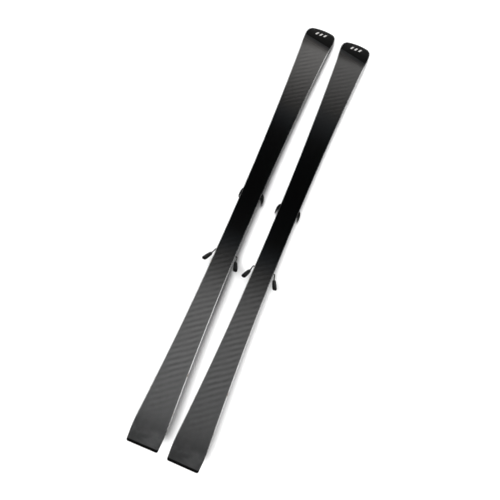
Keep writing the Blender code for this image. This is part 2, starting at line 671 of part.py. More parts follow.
def heel_piece(prefix, parent):
    heel_base(prefix, parent)
    heel_housing(prefix, parent)
    heel_cup(prefix, parent)
    heel_lever(prefix, parent)
    release_screw(prefix + "heel_release_screw", HEEL_MOUTH_X, -1, HEEL_BORE_HEIGHT, parent)
    release_spring(prefix + "heel_spring", HEEL_MOUTH_X + SCREW_LENGTH + SPRING_PLAY,
                   HEEL_BORE_END_X - SPRING_PLAY, HEEL_BORE_HEIGHT, parent)


# ---------------------------------------------------------------- ski brake

def brake_bracket(prefix, parent):
    """The brake's carrier, with two bearing blocks for the arms."""
    bracket = carrier(prefix + "brake_bracket", BRAKE_REAR_X, BRAKE_FRONT_X, parent)
    block = shape_at(BRAKE_PIVOT, BRAKE_BLOCK)
    for side in (-1, 1):
        low, high = beside(side, *BRAKE_BLOCK_SPAN)
        combine(bracket, "UNION", prism(block, low, high, 0.0006, "XZ"), parent)
    hole = crosswise(BRAKE_PIVOT, (-THROUGH, THROUGH), BRAKE_WIRE_RADIUS + GAP)
    combine(bracket, "DIFFERENCE", hole, parent)


def brake_arm(name, side, parent):
    """One bent wire: a crank under the pedal, an axle in its block, and an arm beside the ski."""
    pivot_x, pivot_z = BRAKE_PIVOT
    crank_x, crank_z = BRAKE_CRANK
    along_foot = (FOOT_END - FOOT_ROOT).normalized()
    route = [(crank_x, CRANK_END_Y, crank_z), (crank_x, CRANK_Y, crank_z), (pivot_x, CRANK_Y, pivot_z),
             (pivot_x, AXLE_END_Y, pivot_z), FOOT_ROOT, FOOT_ROOT + along_foot * WIRE_IN_FOOT]
    path = soften([(x, side * y, z) for x, y, z in route], 0.0034, 3, closed=False)
    rings = sweep(path, BRAKE_WIRE_RADIUS, 8)
    solid(name, rings, COATED_STEEL, parent, (pivot_x, 0.0, pivot_z), smooth_below=60.0)


def brake_foot(name, side, parent):
    """The plastic paddle on the end of an arm, with a socket for the wire."""
    root = Vector((FOOT_ROOT.x, side * FOOT_ROOT.y, FOOT_ROOT.z))
    end = Vector((FOOT_END.x, side * FOOT_END.y, FOOT_END.z))
    ahead = (end - root).normalized()
    wide = (Vector((0.0, 1.0, 0.0)) - ahead * ahead.y).normalized()
    deep = ahead.cross(wide)
    rings = []
    for share, half_wide, half_deep in FOOT_SECTIONS:
        centre = root.lerp(end, share)
        rings.append([centre + wide * (half_wide * u) + deep * (half_deep * v) for u, v in FOOT_CORNERS])
    pivot = (BRAKE_PIVOT[0], 0.0, BRAKE_PIVOT[1])
    foot = solid(name, rings, BRAKE_PLASTIC, parent, pivot, smooth_below=50.0)
    bore = BRAKE_WIRE_RADIUS + GAP
    socket = cylinder(root, ahead, [(0.0, bore), (SOCKET_LENGTH, bore)], 10)
    combine(foot, "DIFFERENCE", socket, parent)


def brake_pedal(prefix, parent):
    """The pedal that the boot's heel presses down, carried on the arms' cranks."""
    x, z = BRAKE_CRANK

    def at(along, thick):
        return (x + along, z + PEDAL_HEIGHT + thick + along * PEDAL_SLOPE)

    half, full = PEDAL_THICKNESS / 2, PEDAL_THICKNESS
    plate = [at(-0.0340, 0.0), at(0.0220, 0.0), at(0.0240, half), at(0.0215, full), at(-0.0340, full),
             at(-0.0365, half)]
    pedal = solid(prefix + "brake_pedal", prism(plate, -PEDAL_HALF_WIDTH, PEDAL_HALF_WIDTH, 0.0007, "XZ"),
                  BRAKE_PLASTIC, parent, (x, 0.0, z))
    boss = [(x - 0.0030, z - 0.0041), (x + 0.0030, z - 0.0041), (x + 0.0050, z), at(0.0060, 0.0),
            at(0.0060, half), at(-0.0060, half), at(-0.0060, 0.0), (x - 0.0050, z)]
    rings = prism(boss, -PEDAL_BOSS_HALF_WIDTH, PEDAL_BOSS_HALF_WIDTH, 0.0, "XZ")
    combine(pedal, "UNION", rings, parent)
    hole = crosswise(BRAKE_CRANK, (-THROUGH, THROUGH), BRAKE_WIRE_RADIUS + GAP)
    combine(pedal, "DIFFERENCE", hole, parent)


def brake(prefix, parent, sides):
    brake_bracket(prefix, parent)
    brake_pedal(prefix, parent)
    for side, label in sides:
        brake_arm(prefix + "brake_arm_" + label, side, parent)
        brake_foot(prefix + "brake_foot_" + label, side, parent)


# ---------------------------------------------------------------- the pair

def resting_pitch():
    """The angle that brings the heel piece and the tip to the same level, base up."""
    tip = on_ski(TIP_X, 0.0, TIP_THICKNESS)
    heel = Vector((HEEL_TOP_X, 0.0, HEEL_TOP))
    return math.atan2(heel.z - tip.z, tip.x - heel.x)


def ski(prefix, side, set_back):
    """One complete ski. Its own left is on the world's right once it lies base up."""
    frame = bpy.data.objects.new(prefix + "frame", None)
    bpy.context.scene.collection.objects.link(frame)
    turned_over = Matrix.Rotation(math.pi, 4, "X")
    pitched = Matrix.Rotation(resting_pitch(), 4, "Y")
    splayed = Matrix.Rotation(side * SKI_SPLAY, 4, "Z")
    placed = Matrix.Translation((-set_back, side * SKI_SPACING / 2, 0.0))
    frame.matrix_world = placed @ splayed @ pitched @ turned_over
    sides = ((side, "inner"), (-side, "outer"))
    ski_layers(prefix, frame, sides)
    tip_protector(prefix, frame)
    tail_protector(prefix, frame)
    binding_plate(prefix, frame)
    toe_piece(prefix, frame, sides)
    heel_piece(prefix, frame)
    brake(prefix, frame, sides)
    return frame


def stand_on_origin(frames):
    """Shift the pair so that the origin is under the middle of its box."""
    bpy.context.view_layer.update()
    pieces = [piece for piece in bpy.data.objects if piece.type == "MESH" and not piece.hide_render]
    corners = [piece.matrix_world @ vertex.co for piece in pieces for vertex in piece.data.vertices]
    lows = [min(corner[axis] for corner in corners) for axis in range(3)]
    highs = [max(corner[axis] for corner in corners) for axis in range(3)]
    shift = Vector((-(lows[0] + highs[0]) / 2, -(lows[1] + highs[1]) / 2, -lows[2]))
    for frame in frames:
        frame.matrix_world = Matrix.Translation(shift) @ frame.matrix_world
    bpy.context.view_layer.update()


def main():
    for leftover in list(bpy.data.objects):
        bpy.data.objects.remove(leftover)
    left = ski("left_", 1, 0.0)
    right = ski("right_", -1, RIGHT_SET_BACK)
    stand_on_origin((left, right))


main()
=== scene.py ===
import json
import math

import bmesh
import bpy
from mathutils import Matrix, Vector


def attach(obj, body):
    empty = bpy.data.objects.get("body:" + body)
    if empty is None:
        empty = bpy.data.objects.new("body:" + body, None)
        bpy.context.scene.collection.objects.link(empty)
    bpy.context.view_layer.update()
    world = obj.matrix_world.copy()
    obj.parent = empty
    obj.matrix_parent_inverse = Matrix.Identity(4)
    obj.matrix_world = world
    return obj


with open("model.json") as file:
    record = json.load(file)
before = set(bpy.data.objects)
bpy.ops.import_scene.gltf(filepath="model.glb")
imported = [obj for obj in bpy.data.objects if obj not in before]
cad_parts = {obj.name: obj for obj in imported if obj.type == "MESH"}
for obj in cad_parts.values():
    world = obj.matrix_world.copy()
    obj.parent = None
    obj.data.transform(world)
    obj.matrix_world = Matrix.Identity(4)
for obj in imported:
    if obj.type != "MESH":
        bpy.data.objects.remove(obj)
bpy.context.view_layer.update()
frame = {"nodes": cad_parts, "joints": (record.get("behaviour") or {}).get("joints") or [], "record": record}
nodes = frame["nodes"]
scene = bpy.context.scene

SKIS = ("left_", "right_")
LABELS = ("inner", "outer")     # of the wings and brake feet on one ski
SIDES = (-1, 1)
UP = (0.0, 0.0, 1.0)
DOWN = (0.0, 0.0, -1.0)

# Places on the binding, in a ski's own frame: X to the tip, Y to its left, Z up off the running base
WING_PIN_X = 0.064              # of the pins that the toe wings turn on
WING_MIDDLE = 0.0495            # height of the middle of the wings
HEEL_PIVOT = (-0.338, 0.0450)   # X and Z of the heel jaw's pin
LEVER_PIVOT = (-0.300, 0.0820)
EAR_FACE = 0.0277               # Y just outside the heel carrier's ears
LEVER_FACE = 0.0256             # Y just outside the lever's arms


# ---------------------------------------------------------------- each ski's own frame

def joint(name):
    return next(found for found in frame["joints"] if found["name"] == name)


def ski_place(prefix):
    """Matrix from a ski's own frame to the row frame, read from its joints."""
    ahead = Vector(joint(prefix + "heel_slide")["axis"])
    wings = [joint(prefix + "toe_wing_inner_turn"), joint(prefix + "toe_wing_outer_turn")]
    up = Vector(wings[0]["axis"])
    if up.z > 0:
        up.negate()
    left = up.cross(ahead)
    between = (Vector(wings[0]["pos_m"]) + Vector(wings[1]["pos_m"])) / 2
    origin = between - ahead * WING_PIN_X - up * WING_MIDDLE
    turn = Matrix((ahead, left, up)).transposed().to_4x4()
    return Matrix.Translation(origin) @ turn


def ski_of(name):
    return next(prefix for prefix in SKIS if name.startswith(prefix))


PLACES = {prefix: ski_place(prefix) for prefix in SKIS}


# ---------------------------------------------------------------- materials

class Paint:
    """A material being painted, in metres in one ski's own frame."""

    def __init__(self, name, prefix):
        self.prefix = prefix
        self.material = bpy.data.materials.new(prefix + name)
        self.material.use_nodes = True
        self.tree = self.material.node_tree
        self.shader = self.tree.nodes["Principled BSDF"]
        world = self.node("ShaderNodeTexCoord").outputs["Object"]
        place = PLACES[prefix]
        self.where = self.node("ShaderNodeMapping", {
            "Vector": world, "Location": place.to_translation(), "Rotation": place.to_euler(),
        }, vector_type="TEXTURE").outputs["Vector"]

    def node(self, kind, inputs=None, **settings):
        made = self.tree.nodes.new(kind)
        for name, value in settings.items():
            setattr(made, name, value)
        for name, value in (inputs or {}).items():
            self.feed(made.inputs[name], value)
        return made

    def feed(self, socket, value):
        if isinstance(value, bpy.types.NodeSocket):
            self.tree.links.new(value, socket)
        else:
            socket.default_value = value

    def set(self, **values):
        """Sets inputs of the shader, each named in lower case with underscores."""
        for name, value in values.items():
            self.feed(self.shader.inputs[name.replace("_", " ").title().replace("Ior", "IOR")], value)

    def axis(self, letter):
        return self.node("ShaderNodeSeparateXYZ", {"Vector": self.where}).outputs[letter]

    def stretched(self, scale):
        return self.node("ShaderNodeMapping", {"Vector": self.where, "Scale": scale}).outputs["Vector"]

    def math(self, operation, first, second=0.0, third=0.0):
        made = self.node("ShaderNodeMath", operation=operation)
        for socket, value in zip(made.inputs, (first, second, third)):
            self.feed(socket, value)
        return made.outputs["Value"]

    def noise(self, scale, detail=2.0, stretch=(1.0, 1.0, 1.0)):
        return self.node("ShaderNodeTexNoise", {
            "Vector": self.stretched(stretch), "Scale": scale, "Detail": detail,
        }).outputs["Fac"]

    def cells(self, scale):
        return self.node("ShaderNodeTexVoronoi", {
            "Vector": self.where, "Scale": scale,
        }).outputs["Distance"]

    def span(self, value, low, high, to_low=0.0, to_high=1.0, smooth=False):
        """The value carried from one range to another and held at its ends."""
        kind = "SMOOTHSTEP" if smooth else "LINEAR"
        return self.node("ShaderNodeMapRange", {
            "Value": value, "From Min": low, "From Max": high, "To Min": to_low, "To Max": to_high,
        }, interpolation_type=kind).outputs["Result"]

    def blend(self, share, first, second):
        made = self.node("ShaderNodeMix", data_type="RGBA")
        self.feed(made.inputs["Factor"], share)
        colours = [socket for socket in made.inputs if socket.type == "RGBA"]
        for socket, value in zip(colours, (first, second)):
            self.feed(socket, value)
        return next(socket for socket in made.outputs if socket.type == "RGBA")

    def bump(self, height, depth):
        """Relief of the given depth in metres, on top of any relief already there."""
        inputs = {"Height": height, "Distance": depth, "Strength": 1.0}
        if self.shader.inputs["Normal"].links:
            inputs["Normal"] = self.shader.inputs["Normal"].links[0].from_socket
        made = self.node("ShaderNodeBump", inputs)
        self.feed(self.shader.inputs["Normal"], made.outputs["Normal"])


def grey(value, warmth=0.0):
    return (value * (1 + warmth), value, value * (1 - warmth), 1.0)


BASES = {                       # front and rear grey of the painted sheen, and index of each ski's base
    # the right ski's painted sheen is weaker, since its reflection is dimmer
    "left_": (0.039, 0.040, 1.50),
    "right_": (0.022, 0.034, 1.43),
}
DARKEST = 0.0004                # grey of the waist and the tip
FRONT_FADE = (0.29, 0.71)       # where along the ski each painted sheen comes in
REAR_FADE = (-0.09, -0.43)
TAIL_FADE = (-0.56, -0.70)      # where the painted rear sheen falls back to a share of itself
TAIL_SHARE = 0.80
TAIL_GLEAM_FADE = (-0.775, -0.805)  # where the painted gleam across the turned-up tail comes in
TAIL_GLEAM_GAIN = 0.75
TIP_FADE = 0.036                # length of the fade into the black tip
INSERT_START = 0.762            # where the black tip begins in the middle of the ski
INSERT_SLANT = 0.30             # how far that line leans, per metre across
BAND_PITCH = 0.0165             # of the structure ground into the base
BAND_NORMAL = (0.80, 0.60)      # direction across its bands
BAND_DEPTH = 0.46               # share of the painted sheen that they take or add
CHEVRONS_PER_METRE = 11.0
CHEVRON_SLANT = 0.9
CHEVRON_SHARE = 0.22            # of the pitch that is pale
CHEVRONS_AHEAD_OF = 0.26        # none on the binding, which stands between these two places
CHEVRONS_BEHIND = -0.50


def painted_base_sheen(paint, along, slope):
    """Painted sheen along the base: none in the waist, rising towards both ends, with a painted gleam at the
    tail.
    """
    front_sheen_grey, rear_sheen_grey, _ = BASES[paint.prefix]
    front = paint.math("MULTIPLY", paint.span(along, *FRONT_FADE, smooth=True),
                       paint.span(slope, INSERT_START - TIP_FADE, INSERT_START, 1.0, 0.0, smooth=True))
    rear = paint.math("MULTIPLY", paint.span(along, *REAR_FADE, smooth=True),
                      paint.span(along, *TAIL_FADE, 1.0, TAIL_SHARE, smooth=True))
    # patchy painted gleam across the end of the tail
    rubbed_and_gleam = paint.math("MULTIPLY", paint.span(along, *TAIL_GLEAM_FADE, smooth=True),
                        paint.span(paint.noise(30.0, 4.0, (1.0, 0.5, 1.0)), 0.35, 0.65))
    rear = paint.math("MULTIPLY_ADD", rubbed_and_gleam, TAIL_GLEAM_GAIN, rear)
    return paint.math("MULTIPLY_ADD", front, front_sheen_grey, paint.math("MULTIPLY", rear, rear_sheen_grey))


def ground_sheen_bands(paint, along, across):
    """The ground structure's light and dark bands of sheen, painted as colour: wavering and diagonal, weaker
    in patches, at the borders and at both ends.
    """
    slanted = paint.math("SUBTRACT", paint.math("MULTIPLY", along, BAND_NORMAL[0]),
                         paint.math("MULTIPLY", across, BAND_NORMAL[1]))
    phase = paint.math("MULTIPLY_ADD", paint.noise(14.0), 3.0,
                       paint.math("MULTIPLY", slanted, math.tau / BAND_PITCH))
    patches = paint.span(paint.noise(16.0, 3.0), 0.38, 0.62, 0.35, 1.0)
    border = paint.span(paint.math("ABSOLUTE", across), 0.024, 0.044, 1.0, 0.15)
    middle = paint.math("MULTIPLY", paint.span(along, -0.76, -0.62), paint.span(along, 0.71, 0.66))
    strength = paint.math("MULTIPLY", paint.math("MULTIPLY", patches, border), middle)
    return paint.math("MULTIPLY", paint.math("SINE", phase), strength)


def base_tint(paint, along, pale):
    """Cold where the base is darkest, and a little warmer towards the tip where its painted sheen is pale.
    """
    sheen = paint.blend(paint.span(along, -0.70, 0.40), grey(1.0, -0.01), grey(1.0, 0.05))
    return paint.blend(paint.span(pale, 0.0, 0.010), grey(1.0, -0.24), sheen)


def graphite_base(paint):
    """Sintered base: black in the waist and tip, with painted sheen greying both ends, and a ground diagonal
    structure whose bands of sheen are painted as colour.
    """
    along = paint.axis("X")
    across = paint.axis("Y")
    slope = paint.math("MULTIPLY_ADD", across, INSERT_SLANT, along)
    # pale is the painted sheen along the base
    pale = painted_base_sheen(paint, along, slope)
    speckle = paint.noise(2600.0)
    mottle = paint.span(paint.noise(60.0, 4.0), 0.3, 0.7, 0.92, 1.08)
    grain = paint.math("MULTIPLY", mottle, paint.span(speckle, 0.3, 0.7, 0.85, 1.15))
    tone = paint.math("MULTIPLY_ADD", ground_sheen_bands(paint, along, across), BAND_DEPTH, grain)
    # the painted sheen with its painted bands, over the base's own black
    shade = paint.math("MULTIPLY", paint.math("ADD", pale, DARKEST), tone)
    toned = paint.node("ShaderNodeVectorMath", {0: base_tint(paint, along, pale), 1: shade},
                       operation="MULTIPLY")
    paint.set(base_color=toned.outputs["Vector"], metallic=0.0, ior=BASES[paint.prefix][2])
    grind = paint.noise(900.0, 3.0, (0.02, 1.0, 1.0))
    matt = paint.span(slope, INSERT_START - TIP_FADE, INSERT_START + 0.020, 0.18, 0.60)
    paint.set(roughness=paint.math("MULTIPLY_ADD", grind, 0.08, matt))
    paint.bump(grind, 0.00002)
    paint.bump(speckle, 0.000006)


def edge_steel(paint):
    """Ground steel, brushed along the ski, with a faint brown bloom."""
    brushed = paint.noise(3000.0, 2.0, (0.01, 1.0, 1.0))
    bloom = paint.span(paint.noise(35.0, 4.0), 0.62, 0.80)
    paint.set(base_color=paint.blend(bloom, grey(0.58), (0.33, 0.25, 0.18, 1.0)), metallic=1.0)
    paint.set(roughness=paint.math("MULTIPLY_ADD", bloom, 0.25, paint.span(brushed, 0.2, 0.8, 0.18, 0.34)))
    paint.bump(brushed, 0.00001)


def titanal_laminate(paint):
    """Brushed aluminium alloy sheet."""
    brushed = paint.noise(2500.0, 2.0, (0.02, 1.0, 1.0))
    paint.set(base_color=paint.blend(brushed, grey(0.36), grey(0.48)), metallic=1.0)
    paint.set(roughness=paint.span(brushed, 0.2, 0.8, 0.32, 0.48))


def core_wood(paint):
    """Light wood with its grain along the ski."""
    rings = paint.noise(260.0, 4.0, (0.04, 1.0, 1.0))
    paint.set(base_color=paint.blend(rings, (0.46, 0.29, 0.14, 1.0), (0.66, 0.47, 0.27, 1.0)))
    paint.set(roughness=paint.span(rings, 0.3, 0.7, 0.6, 0.8))
    paint.bump(rings, 0.0001)


def moulded(paint, tone, roughness, grain=1800.0, depth=0.00003, warmth=0.0, ior=1.45):
    """Injection-moulded plastic: a fine eroded grain, uneven gloss and slightly uneven colour."""
    cells = paint.cells(grain)
    cloud = paint.noise(45.0, 4.0)
    fine = paint.noise(grain * 0.6)
    paint.set(base_color=paint.blend(cloud, grey(tone * 0.8, warmth), grey(tone * 1.25, warmth)), ior=ior)
    paint.set(roughness=paint.math("MULTIPLY_ADD", paint.span(cloud, 0.3, 0.7), 0.12,
                                   paint.span(fine, 0.3, 0.7, roughness - 0.08, roughness + 0.04)))
    paint.bump(cells, depth)


def sidewall_plastic(paint):
    """Milled sidewall: long cutter lines and small scuffs."""
    milled = paint.noise(1500.0, 3.0, (0.012, 1.0, 1.0))
    scuffs = paint.span(paint.noise(120.0, 5.0, (0.25, 1.0, 1.0)), 0.60, 0.72)
    paint.set(base_color=paint.blend(scuffs, grey(0.012), grey(0.05)))
    paint.set(roughness=paint.math("MULTIPLY_ADD", scuffs, 0.2, paint.span(milled, 0.3, 0.7, 0.34, 0.5)))
    paint.bump(milled, 0.00003)


def chevrons(paint):
    """One on the top sheet's plain pale chevrons, ahead of and behind the binding, and zero elsewhere."""
    along = paint.axis("X")
    outward = paint.math("MULTIPLY", paint.math("ABSOLUTE", paint.axis("Y")), CHEVRON_SLANT)
    turns = paint.math("MULTIPLY", paint.math("ADD", along, outward), CHEVRONS_PER_METRE)
    stripe = paint.math("LESS_THAN", paint.math("FRACT", turns), CHEVRON_SHARE)
    ahead = paint.math("GREATER_THAN", along, CHEVRONS_AHEAD_OF)
    behind = paint.math("LESS_THAN", along, CHEVRONS_BEHIND)
    return paint.math("MULTIPLY", stripe, paint.math("MAXIMUM", ahead, behind))


def top_sheet_gloss(paint):
    """Lacquered top sheet: a dark flaked field with plain chevrons."""
    flake = paint.cells(5200.0)
    field = paint.blend(paint.span(flake, 0.0, 0.5), grey(0.030), grey(0.010))
    paint.set(base_color=paint.blend(chevrons(paint), field, grey(0.20)))
    cloud = paint.noise(60.0, 3.0)
    paint.set(roughness=paint.span(cloud, 0.3, 0.7, 0.16, 0.26), coat_weight=0.6, coat_roughness=0.08)
    paint.bump(cloud, 0.00008)


def cap_plastic(paint):
    moulded(paint, 0.003, 0.52, grain=1500.0, ior=1.11)


def plate_plastic(paint):
    moulded(paint, 0.022, 0.50)


def binding_plastic(paint):
    moulded(paint, 0.004, 0.42, grain=2200.0, ior=1.35)


def binding_grey(paint):
    moulded(paint, 0.24, 0.42, grain=2200.0, warmth=-0.02)


def slide_plastic(paint):
    moulded(paint, 0.55, 0.35, depth=0.00001, warmth=0.02)


def brake_plastic(paint):
    moulded(paint, 0.0025, 0.46, grain=1600.0, ior=1.28)


def coated_steel(paint):
    """Black-coated spring wire, rubbed a little brighter here and there."""
    rubbed_and_gleam = paint.span(paint.noise(90.0, 4.0), 0.60, 0.75)
    paint.set(base_color=paint.blend(rubbed_and_gleam, grey(0.010), grey(0.07)), metallic=0.4)
    paint.set(roughness=paint.span(paint.noise(700.0), 0.3, 0.7, 0.30, 0.44))


def bright_steel(paint):
    """Drawn steel pins and screws."""
    drawn = paint.noise(1400.0, 2.0, (0.05, 1.0, 1.0))
    paint.set(base_color=paint.blend(drawn, grey(0.52), grey(0.66)), metallic=1.0)
    paint.set(roughness=paint.span(drawn, 0.2, 0.8, 0.20, 0.34))


def spring_steel(paint):
    """Oiled spring wire."""
    oiled = paint.noise(300.0, 3.0)
    paint.set(base_color=paint.blend(oiled, grey(0.26), grey(0.42)), metallic=1.0)
    paint.set(roughness=paint.span(oiled, 0.3, 0.7, 0.26, 0.42))


PAINTERS = (graphite_base, edge_steel, titanal_laminate, core_wood, sidewall_plastic, top_sheet_gloss,
            cap_plastic, plate_plastic, binding_plastic, binding_grey, slide_plastic, brake_plastic,
            bright_steel, coated_steel, spring_steel)


def paint_all():
    """Every material once for each ski, since each is painted in that ski's own frame."""
    painted = {}
    for prefix in SKIS:
        for painter in PAINTERS:
            paint = Paint(painter.__name__, prefix)
            painter(paint)
            painted[prefix, painter.__name__] = paint.material
    return painted


MATERIALS = paint_all()


def dress(piece, prefix, slot):
    piece.data.materials.clear()
    piece.data.materials.append(MATERIALS[prefix, slot])


# ---------------------------------------------------------------- the carried CAD nodes

MERGE = 0.00002
FLAT_WITHIN = math.radians(0.5)
SHARP_ABOVE = math.radians(32.0)
RIM_SEGMENTS = 3
BEVELS = {                      # rim width in metres for each material that has rounded rims
    "cap_plastic": 0.0004, "plate_plastic": 0.0007, "binding_plastic": 0.0006, "binding_grey": 0.0006,
    "slide_plastic": 0.0003, "brake_plastic": 0.0004, "bright_steel": 0.0003,
}
ROUND_WIRES = ("coated_steel", "spring_steel")


def empty_group(name):
    """A geometry group with its input and output, not yet linked."""
    group = bpy.data.node_groups.new(name, "GeometryNodeTree")
    for direction in ("INPUT", "OUTPUT"):
        group.interface.new_socket("Geometry", in_out=direction, socket_type="NodeSocketGeometry")
    return group, group.nodes.new("NodeGroupInput"), group.nodes.new("NodeGroupOutput")


def weld_group():
    """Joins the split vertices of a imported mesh."""
    group, start, end = empty_group("weld")
    weld = group.nodes.new("GeometryNodeMergeByDistance")
    weld.inputs["Distance"].default_value = MERGE
    group.links.new(start.outputs[0], weld.inputs["Geometry"])
    group.links.new(weld.outputs["Geometry"], end.inputs[0])
    return group


def shading_group():
    """Shades a mesh smooth, except across its sharp edges."""
    group, start, end = empty_group("shade")
    make, link = group.nodes.new, group.links.new
    smooth = make("GeometryNodeSetShadeSmooth")
    sharpen = make("GeometryNodeSetShadeSmooth")
    sharpen.domain = "EDGE"
    sharpen.inputs["Shade Smooth"].default_value = False
    angle = make("GeometryNodeInputMeshEdgeAngle")
    above = make("FunctionNodeCompare")
    above.operation = "GREATER_THAN"
    above.inputs["B"].default_value = SHARP_ABOVE
    link(start.outputs[0], smooth.inputs["Geometry"])
    link(smooth.outputs["Geometry"], sharpen.inputs["Geometry"])
    link(angle.outputs["Unsigned Angle"], above.inputs["A"])
    link(above.outputs["Result"], sharpen.inputs["Selection"])
    link(sharpen.outputs["Geometry"], end.inputs[0])
    return group


WELD = weld_group()
SHADING = shading_group()


def add_group(piece, group):
    piece.modifiers.new(group.name, "NODES").node_group = group


def round_rims(piece, width):
    """Rounds a piece's sharp rims, after joining the faces that lie in one plane."""
    flatten = piece.modifiers.new("flatten", "DECIMATE")
    flatten.decimate_type = "DISSOLVE"
    flatten.angle_limit = FLAT_WITHIN
    bevel = piece.modifiers.new("rims", "BEVEL")
    bevel.width = width
    bevel.segments = RIM_SEGMENTS
    bevel.limit_method = "ANGLE"
    bevel.angle_limit = SHARP_ABOVE


def carry(node, prefix, slot):
    """Finishes a CAD node that stays: rounded rims or a rounder wire, smooth shading and its material."""
    dress(node, prefix, slot)
    add_group(node, WELD)
    if slot in BEVELS:
        round_rims(node, BEVELS[slot])
    if slot in ROUND_WIRES:
        rounder = node.modifiers.new("rounder", "SUBSURF")
        rounder.levels = 1
        rounder.render_levels = 1
    add_group(node, SHADING)


def carry_nodes():
    for part in frame["record"]["subparts"]:
        carry(nodes[part["node"]], ski_of(part["node"]), part["material_slot"])


# ---------------------------------------------------------------- tools for the added pieces

FILM_LIFT = 0.00002             # between a thin patch and the surface under it
CAST_FROM = 0.2                 # how far outside the ski its patches are cast from


def ski_box(node):
    """Lowest and highest corner of a node in its own ski's frame."""
    back = PLACES[ski_of(node)].inverted()
    points = [back @ vertex.co for vertex in nodes[node].data.vertices]
    low = Vector([min(point[i] for point in points) for i in range(3)])
    high = Vector([max(point[i] for point in points) for i in range(3)])
    return low, high


def side_of(low, high):
    """The side of the ski that a box stands on."""
    return 1 if low.y + high.y > 0 else -1


def series(first, pitch, count):
    return [first + pitch * i for i in range(count)]


def add_piece(name, work, prefix, body, slot):
    """Turns a bmesh in a ski's own frame into a named piece that rides on a CAD body."""
    bmesh.ops.recalc_face_normals(work, faces=work.faces)
    mesh = bpy.data.meshes.new(prefix + name)
    work.to_mesh(mesh)
    work.free()
    mesh.transform(PLACES[prefix])
    piece = bpy.data.objects.new(prefix + name, mesh)
    scene.collection.objects.link(piece)
    dress(piece, prefix, slot)
    add_group(piece, SHADING)
    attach(piece, prefix + body)


def skin(work, rings):
    """A closed body over rings of points, each ring a loop of the same count."""
    loops = [[work.verts.new(point) for point in ring] for ring in rings]
    count = len(loops[0])
    for lower, upper in zip(loops, loops[1:]):
        for i in range(count):
            after = (i + 1) % count
            work.faces.new((lower[i], lower[after], upper[after], upper[i]))
    work.faces.new(list(reversed(loops[0])))
    work.faces.new(loops[-1])


def ring(centre, axis, along, reaches):
    """A loop of points round an axis, one for each reach out from it."""
    turn = Vector(UP).rotation_difference(Vector(axis))
    points = []
    for i, reach in enumerate(reaches):
        angle = math.tau * i / len(reaches)
        offset = Vector((reach * math.cos(angle), reach * math.sin(angle), along))
        points.append(Vector(centre) + turn @ offset)
    return points


def turned(work, centre, axis, profile, sides=28):
    """A turned body; the profile lists (distance along the axis, radius)."""
    skin(work, [ring(centre, axis, along, [radius] * sides) for along, radius in profile])


def rows_between(corners, along, across):
    """A grid of points inside four corners, given in order round the patch."""
    a, b, c, d = [Vector(corner) for corner in corners]
    grid = []
    for i in range(along + 1):
        t = i / along
        grid.append([a.lerp(b, t).lerp(d.lerp(c, t), j / across) for j in range(across + 1)])
    return grid


def cast(node, point, toward):
    """Where a ray meets a node, and its surface's normal there, in its ski's own frame."""
    place = PLACES[ski_of(node)]
    turn = place.to_3x3()
    found, hit, normal, _ = nodes[node].ray_cast(place @ point, turn @ Vector(toward))
    if not found:
        raise ValueError(f"no surface of {node} under {tuple(point)}")
    return place.inverted() @ hit, turn.inverted() @ normal


def rim(rows):
    """The points round the border of a grid, in order."""
    between = rows[1:-1]
    return (rows[0] + [row[-1] for row in between] + list(reversed(rows[-1]))
            + [row[0] for row in reversed(between)])


def film(work, node, grid, toward, raised):
    """A thin raised patch that follows a node's surface: the grid's points are cast onto it."""
    outer, inner = [], []
    for row in grid:
        hits = [cast(node, point, toward) for point in row]
        outer.append([work.verts.new(hit + normal * raised) for hit, normal in hits])
        inner.append([work.verts.new(hit + normal * FILM_LIFT) for hit, normal in hits])
    for rows in (outer, inner):
        for lower, upper in zip(rows, rows[1:]):
            for j in range(len(lower) - 1):
                work.faces.new((lower[j], lower[j + 1], upper[j + 1], upper[j]))
    walls = list(zip(rim(outer), rim(inner)))
    for (above, below), (next_above, next_below) in zip(walls, walls[1:] + walls[:1]):
        work.faces.new((above, next_above, next_below, below))


def strip(work, node, ends, width, toward, raised, steps=6):
    """A narrow raised rib on a node, from one point to another."""
    start, end = Vector(ends[0]), Vector(ends[1])
    aside = (end - start).cross(Vector(toward)).normalized() * width / 2
    grid = rows_between((start - aside, end - aside, end + aside, start + aside), along=steps, across=1)
    film(work, node, grid, toward, raised)


def cross_ribs(work, node, stations, half_length, width, raised, steps=6):
    """Ribs across the ski on the top of a node, one at each station along it."""
    for x in stations:
        ends = ((x, -half_length, CAST_FROM), (x, half_length, CAST_FROM))
        strip(work, node, ends, width, DOWN, raised, steps)


def side_ribs(work, node, side, lines, width, raised, steps=6):
    """Ribs on one side of a node; each line gives the X and Z of its two ends."""
    for line in lines:
        ends = [(x, side * CAST_FROM, z) for x, z in line]
        strip(work, node, ends, width, (0, -side, 0), raised, steps)


# ---------------------------------------------------------------- the tips

INSERT_MARGIN = 0.0006          # from the insert to the edge of the base
INSERT_SETBACK = 0.0012         # from the insert to the front of the base
INSERT_ROWS = 12
INSERT_THICK = 0.00012
BAR_SPACING = 0.0170            # of the three bars on the insert
BAR_WIDTH = 0.0070
BAR_LENGTH = 0.0200
BAR_LEAN = 0.0035               # how far each end of a bar is pushed sideways
BAR_BACK = 0.0040               # from the front of the insert
BAR_RAISED = 2 * INSERT_THICK   # above the base, so that they stand out of the insert


def half_width(node, x):
    """Half a ski layer's width at a place along it, read between its cross-sections."""
    back = PLACES[ski_of(node)].inverted()
    corners = sorted((point.x, abs(point.y)) for point in (back @ v.co for v in nodes[node].data.vertices))
    behind = [corner for corner in corners if corner[0] <= x][-1]
    ahead = [corner for corner in corners if corner[0] > x][0]
    share = (x - behind[0]) / (ahead[0] - behind[0])
    return behind[1] + share * (ahead[1] - behind[1])


